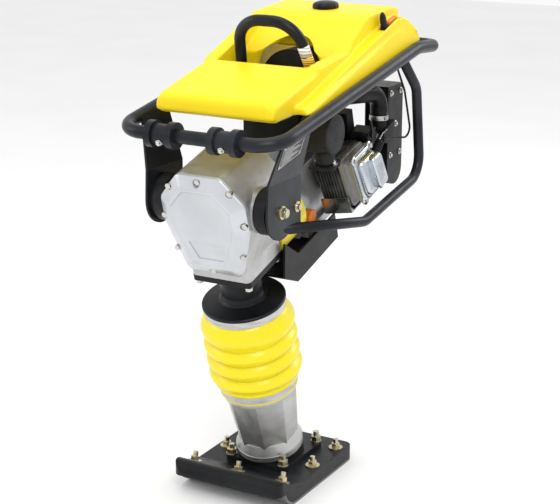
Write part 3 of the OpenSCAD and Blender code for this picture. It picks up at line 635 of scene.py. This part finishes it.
SIDE = 195
BAR = (-331, 869)
SLOPE = math.tan(math.radians(9.6))
KNEE = (345, BAR[1] + (345 - BAR[0]) * SLOPE)
TAIL = (KNEE[0] + 120 * math.cos(math.radians(4.5)), KNEE[1] - 120 * math.sin(math.radians(4.5)))


def handle_frame():
    corners = [(0, *BAR), (SIDE, *BAR), (SIDE, *KNEE), (SIDE, *TAIL), (-SIDE, *TAIL), (-SIDE, *KNEE),
               (-SIDE, *BAR), (-60, *BAR)]
    route = bent_route(corners, [0, 62, 160, 44, 44, 160, 62, 0])
    loop = tube("handle_loop", route, 15, (0, 0, 1), closed=True, sides=32)
    finish_piece(loop, MATERIALS["tube_paint"], "handle", ["handle_frame"])


def guard(sign, name, node):
    top = (SIDE, 258, BAR[1] + (258 - BAR[0]) * SLOPE)
    corners = [top, (SIDE, 343, 888), (SIDE, 374, 673), (SIDE, 75, 621), (140, -232, 668)]
    route = bent_route([(sign * x, y, z) for x, y, z in corners], [0, 50, 55, 70, 0])
    obj = tube(name, route, 12, (1, 0, 0))
    finish_piece(obj, MATERIALS["tube_paint"], "handle", [node])


def lifting_hook():
    tilt = Matrix.Rotation(HOOK_TILT, 3, "X")
    corners = [(-100, 0, 0), (-72, 0, 186), (72, 0, 186), (100, 0, 0)]
    route = [tilt @ p + HOOK_FOOT for p in bent_route(corners, [0, 66, 66, 0])]
    obj = tube("hook_tube", route, 13, tilt @ Vector((0, 1, 0)), sides=32)
    finish_piece(obj, MATERIALS["tube_paint"], "handle", ["lifting_hook"])


HOOK_TILT = math.radians(22)
HOOK_FOOT = Vector((0, 36, 905))


def hook_label(name, low, high, material):
    """A label wrapped round the hook's right leg, between two heights above its foot."""
    tilt = Matrix.Rotation(HOOK_TILT, 3, "X")
    route = [tilt @ Vector((100 - 28 * h / 186, 0, h)) + HOOK_FOOT for h in (low, high)]
    obj = tube(name, route, 13.3, tilt @ Vector((0, 1, 0)), sides=32)
    finish_piece(obj, MATERIALS[material], "handle", ())


PLATE_X, PLATE_TILT = 148, math.radians(15)
PLATE_CORNERS = [(-270, 35), (-185, 57), (-180, 105), (-262, 83)]


def on_plate(u, v, lift):
    """A point on the flared side plate: u and v run from 0 to 1 over the data plate, lift is out from it."""
    (y0, z0), (y1, z1), (y2, z2), (y3, z3) = PLATE_CORNERS
    y = (1 - v) * ((1 - u) * y0 + u * y1) + v * ((1 - u) * y3 + u * y2)
    z = (1 - v) * ((1 - u) * z0 + u * z1) + v * ((1 - u) * z3 + u * z2)
    x = 5.1 + lift
    return mm((PLATE_X + x * math.cos(PLATE_TILT) + z * math.sin(PLATE_TILT), y,
               775 - x * math.sin(PLATE_TILT) + z * math.cos(PLATE_TILT)))


def data_plate():
    """A blank plate: a dark field in a bright rim, with blank ruled rows and a rivet at each corner."""
    field = prism("plate_field", [(0, 0), (1, 0), (1, 1), (0, 1)], on_plate, 0, 0.8)
    finish_piece(field, MATERIALS["plate_field"], "handle", ["data_plate"])
    bars = [(0, 0, 1, 0.035), (0, 0.965, 1, 1), (0, 0.035, 0.02, 0.965), (0.98, 0.035, 1, 0.965)]
    for row in range(9):
        v = 0.1 + row * 0.09
        bars.append((0.09, v, (0.55, 0.9, 0.78)[row % 3], v + 0.036))
    parts = [prism("bar", [(a, b), (c, b), (c, d), (a, d)], on_plate, 0.7, 1.2) for a, b, c, d in bars]
    out = (on_plate(0, 0, 1) - on_plate(0, 0, 0)).normalized()
    for u, v in ((0.05, 0.08), (0.95, 0.08), (0.95, 0.92), (0.05, 0.92)):
        parts.append(lathe("rivet", [(0.4, 0), (2.6, 0), (2.3, 1.1), (1.2, 1.8), (0.4, 1.9)],
                           on_plate(u, v, 0.8), out, 16, False))
    finish_piece(join("plate_rows", parts), MATERIALS["plate_metal"], "handle", ())


def collar_bolts():
    """The screws that hold the collars' sleeves on the front bar."""
    parts = []
    for sign in (-1, 1):
        place = mm((sign * 76, BAR[0] - 19, BAR[1] - 13))
        parts.append(hex_bolt(place, (0, -0.82, -0.57), 5.5, 6.5, 7.5))
    finish_piece(join("collar_screws", parts), MATERIALS["silver_zinc"], "handle", ())


handle_frame()
guard(1, "guard_tube_right", "guard_right")
guard(-1, "guard_tube_left", "guard_left")
lifting_hook()
hook_label("hook_label_white", 106, 130, "white_label")
hook_label("hook_label_amber", 80, 105, "amber_label")
data_plate()
collar_bolts()

# --- tank -------------------------------------------------------------------------------------

HALF = 146


def fuel_tank():
    block = arc(-244, 927, 18, 180, 103, 8) + [(-60, 988), (-60, 905), (-130, 905), (-246, 899), (-262, 907)]
    wall = [(-61, 905), (-61, 988), (165, 1071), (180, 1071), (180, 930)]
    low_wall = [(-61, 905), (-61, 986), (80, 1004), (100, 1018), (100, 930)]
    barrel = ([(66, 912), (62, 990), (80, 1006), (103, 1021), (150, 1050), (172, 1064), (200, 1073), (318, 1080)]
              + arc(336, 1056, 20, 62, 0, 4) + [(370, 1010), (392, 994)])
    wing = [(-128, 902), (-168, 905), (-168, 919), (-136, 924), (288, 1055), (322, 1056), (352, 1046), (380, 1021),
            (399, 992)]
    solids = [prism("s", wall, across, -HALF, -112), prism("s", low_wall, across, 112, HALF),
              prism("s", barrel, across, -HALF, HALF - 6)]
    # the block's top edges are chamfered at both sides
    sides = [(HALF, 13), (HALF - 3, 10), (HALF - 14, 0), (14 - HALF, 0), (3 - HALF, 10), (-HALF, 13)]
    solids.append(loft("s", [[mm((x, min(y + drop * 0.5, -60) if y < -200 else y, z - (drop if z > 915 else 0)))
                              for y, z in block] for x, drop in sides]))
    for sign in (-1, 1):
        rings = []
        for y, z in wing:
            top = 1 if z > 915 + (y + 168) * 0.25 else 0
            rings.append((y, z, 179 - 12 * top))
        inner = [mm((sign * 128, y, z)) for y, z, _ in rings]
        outer = [mm((sign * w, y, z)) for y, z, w in rings]
        solids.append(loft("s", [inner, outer]))
    obj = join("tank_shell", solids)
    soften(obj, 3.2, 4)
    arch = [mm((84 * math.cos(a), 0, 945 + 84 * math.sin(a)))
            for a in (2 * math.pi * k / 64 for k in range(64))]
    rim = lambda grow, y: [Vector((p.x * grow, y * 0.001, 0.945 + (p.z - 0.945) * grow)) for p in arch]
    cut(obj, loft("arch", [rim(1.16, 30), rim(1.12, 62), rim(1.0, 74), rim(1.0, 130)]),
        prism("belly", [(60, 880), (60, 940), (110, 1000), (300, 1000), (360, 985)], across, -100, 100),
        prism("slot", [(226, 1030), (216, 1100), (330, 1100), (320, 1040)], across, 146, 164))
    finish_piece(obj, MATERIALS["yellow_tank"], "handle", ["fuel_tank"])


fuel_tank()

# --- hoses and cable --------------------------------------------------------------------------


def hose(name, node, corners, bends, radius, gap=30):
    """A hose from the handle's side of the rubber mounts to the machine's; returns its piece and route."""
    route = spread(bent_route(corners, bends, 8), gap)
    obj = tube(name, route, radius, (1, 0, 0), sides=24)
    finish_piece(obj, MATERIALS["black_rubber"], None, [node])
    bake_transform(obj)
    return obj, route


hose("intake_elbow", "intake_hose", [(80, 167, 884), (108, 214, 884), (118, 300, 876), (118, 300, 809)],
     [0, 60, 42, 0], 21)
hose("throttle_wire", "throttle_cable",
                   [(164, 300, 938), (168, 335, 880), (166, 384, 758), (152, 247, 778)], [0, 60, 20, 0], 2.5, 22)
hose("fuel_line", "fuel_hose", [(40, 205, 1007), (44, 230, 900), (80, 300, 852), (84, 329, 852)],
                   [0, 60, 37, 0], 4.5, 18)

# --- engine -----------------------------------------------------------------------------------

ENGINE_S = 708 - 2.25 * (72 + 12) / 2
CYLINDER_T = 350
CYLINDER_TILT = math.radians(80)


def on_cylinder(a, b, u):
    """A point by the cylinder: u out along its axis from the crank, a down and b back across it."""
    return leg(a * math.cos(CYLINDER_TILT) + u * math.sin(CYLINDER_TILT), CYLINDER_T + b,
               ENGINE_S - a * math.sin(CYLINDER_TILT) + u * math.cos(CYLINDER_TILT))


def block_on_cylinder(name, sections, b0=0, a0=0):
    """A body through rounded rectangles (width, depth, corner, u) stacked along the cylinder's axis."""
    return loft(name, [[on_cylinder(x + a0, y + b0, u) for x, y in rounded(w, d, r, 5)] for w, d, r, u in sections])


def rocker_cover():
    """A pressed cover: a flange with an ear at each corner, a bowl, and a raised block on the bowl."""
    parts = [block_on_cylinder("f", [(110, 90, 12, 160), (111, 91, 12, 161), (111, 91, 12, 165), (108, 88, 11, 166.4)]),
             block_on_cylinder("p", [(92, 78, 15, 165), (91, 77, 15, 172), (86, 72, 14, 178), (80, 66, 12, 181),
                                     (70, 56, 10, 182)]),
             block_on_cylinder("r", [(82, 44, 10, 172), (80, 43, 10, 186), (76, 41, 9, 192), (72, 38, 8, 194.5),
                                     (66, 33, 7, 195.4)], 14)]
    for a in (-50, 50):
        for b in (-40, 40):
            parts.append(lathe("e", [(0.4, 0), (11, 0), (11.5, 0.6), (11.5, 5), (10.8, 6), (0.4, 6)],
                               on_cylinder(a, b, 160), on_cylinder(0, 0, 1) - on_cylinder(0, 0, 0), 40, False))
    for k in range(3):
        parts.append(block_on_cylinder("k", [(44, 3, 1.2, 195), (43, 2, 0.9, 196.4)], 5 + 9 * k))
    obj = join("rocker_shell", parts)
    finish_piece(obj, MATERIALS["bright_cover"], "machine", ["rocker_cover"])


def muffler():
    """A seamed can on its side, with an elbow down to a bolted flange."""
    centre = leg(0, 262, 784)
    can = [(0.4, 68), (40, 68), (43.5, 69), (46, 72), (46.6, 74), (46, 76), (45, 78), (45, 134), (46, 136),
           (46.6, 138), (46, 141), (43.5, 143), (40, 143.6), (30, 145), (0.4, 145.6)]
    parts = [lathe("can", can, centre, RIGHT, 72, False)]
    route = [Vector(p) for p in ((104, 264, 752), (104, 266, 728), (104, 268, 712), (103, 268, 704))]
    rings = []
    for (x, t, h), r in zip(route, (25, 24, 24, 27)):
        rings.append([leg(x + r * math.cos(a), t + 0.85 * r * math.sin(a), h) for a in
                      (2 * math.pi * k / 32 for k in range(32))])
    parts.append(loft("neck", rings))
    flange = rounded(62, 52, 14)
    parts.append(loft("flange", [[leg(103 + x, 266 + y, h) for x, y in flange] for h in (697, 698, 703.4, 704.4)]))
    finish_piece(join("muffler_can", parts), MATERIALS["heat_paint"], "machine", ["muffler"])
    nuts = [hex_bolt(leg(x, 266, 704), UP, 6, 7.5, 8.5, 6) for x in (82, 125)]
    finish_piece(join("muffler_nuts", nuts), MATERIALS["silver_zinc"], "machine", ())


def engine_bolts():
    """Screws on the crank housing's side, round the air box and on the clutch housing."""
    places = [(leg(48, t, s), RIGHT)
              for t, s in ((214, 548), (262, 545), (330, 542), (398, 548), (214, 676), (398, 676))]
    places += [(mm((128, y, z)), RIGHT) for y, z in ((344, 868), (398, 868), (344, 716), (398, 716), (371, 790))]
    parts = [hex_bolt(place, axis, 5, 6, 7.5) for place, axis in places]
    finish_piece(join("engine_screws", parts), MATERIALS["silver_zinc"], "machine", ())


def elbow_clamp():
    """The worm clip at the elbow's lower end."""
    centre = mm((118, 300, 0))
    ring = lathe("clip", [(21.2, 812), (22.6, 811), (23, 812), (23, 822), (22.6, 823), (21.2, 822)], centre,
                 (0, 0, 1), 48)
    screw = lathe("screw", [(0.4, 0), (4, 0), (4, 12), (2.8, 13.4), (0.4, 13.4)], mm((140, 288, 817)),
                  (0, 1, 0), 16, False)
    finish_piece(join("elbow_clip", [ring, screw]), MATERIALS["band_steel"], "machine", ())


def linkage():
    """The governor's rods and spring between the carburettor and the block."""
    rods = [[(136, 258, 784), (140, 206, 764), (136, 168, 742)], [(128, 262, 798), (132, 222, 792), (128, 190, 762)],
            [(142, 296, 790), (146, 262, 786), (150, 240, 776)]]
    parts = [tube("rod", bent_route(r, [0, 14, 0], 12), 1.7, (1, 0, 0), sides=10) for r in rods]
    turns = [Vector((131 + 4 * math.cos(a * 0.7), 250 - 1.4 * a, 778 + 4 * math.sin(a * 0.7) - 0.45 * a))
             for a in range(46)]
    parts.append(tube("spring", turns, 0.9, (0, 1, 0.3), sides=6))
    finish_piece(join("governor_linkage", parts), MATERIALS["machined_steel"], "machine", ())
    arm = prism("arm", [(150, 742), (262, 800), (268, 790), (158, 731)], across, 118, 121)
    finish_piece(bevel(arm, 1.2, 2), MATERIALS["gold_zinc"], "machine", ())


rocker_cover()
muffler()
engine_bolts()
elbow_clamp()
linkage()

# --- cap and throttle lever --------------------------------------------------------------------


def fuel_cap():
    """A domed cap with grip flutes round its skirt."""
    axis = Vector((0, -math.sin(math.radians(3.4)), math.cos(math.radians(3.4))))
    centre = mm((0, 246, 1075))
    profile = [(0.4, -18), (23, -18), (23, -1), (29, -0.5), (30.6, 1), (31, 3), (31, 8), (30, 10.5), (27, 13), (20, 15.3),
               (10, 16.6), (0.4, 17)]
    obj = lathe("cap_dome", profile, centre, axis, 96, False)
    for v in obj.data.vertices:
        out = v.co - centre
        height = out.dot(axis)
        flat = out - height * axis
        if flat.length > 0.0285:
            turn = math.atan2(flat.x, flat.y)
            v.co -= flat.normalized() * 0.0011 * max(0, math.cos(16 * turn))
    finish_piece(obj, MATERIALS["black_plastic"], "fuel_cap", ["fuel_cap"])


def throttle_lever():
    """A thumb lever: a hub across the slot and a rounded grip on it."""
    hub = lathe("hub", [(0.4, -8.4), (8, -8.4), (9, -7.4), (9, 7.4), (8, 8.4), (0.4, 8.4)],
                mm((155, 246, 1040)), RIGHT,
                36, False)
    grip = []
    for h, rx, ry in ((-8, 4, 6), (0, 5.6, 8.4), (8, 6.6, 10), (18, 7.2, 10.4), (26, 7, 9.4), (33, 5.6, 7.2),
                      (37, 3.4, 4.2),
                      (38.6, 1.2, 1.5)):
        grip.append([mm((155 + rx * math.cos(a), 242 - 0.3 * h + ry * math.sin(a), 1038 + h))
                     for a in (2 * math.pi * k / 28 for k in range(28))])
    obj = join("thumb_lever", [hub, loft("grip", grip)])
    finish_piece(obj, MATERIALS["black_plastic"], "throttle_lever", ["throttle_lever"])
    stop = prism("lever_stop", [(258, 1032), (258, 1052), (300, 1062), (300, 1036)], across, 149, 160)
    finish_piece(bevel(stop, 2, 3), MATERIALS["orange_plastic"], "handle", ())


fuel_cap()
throttle_lever()
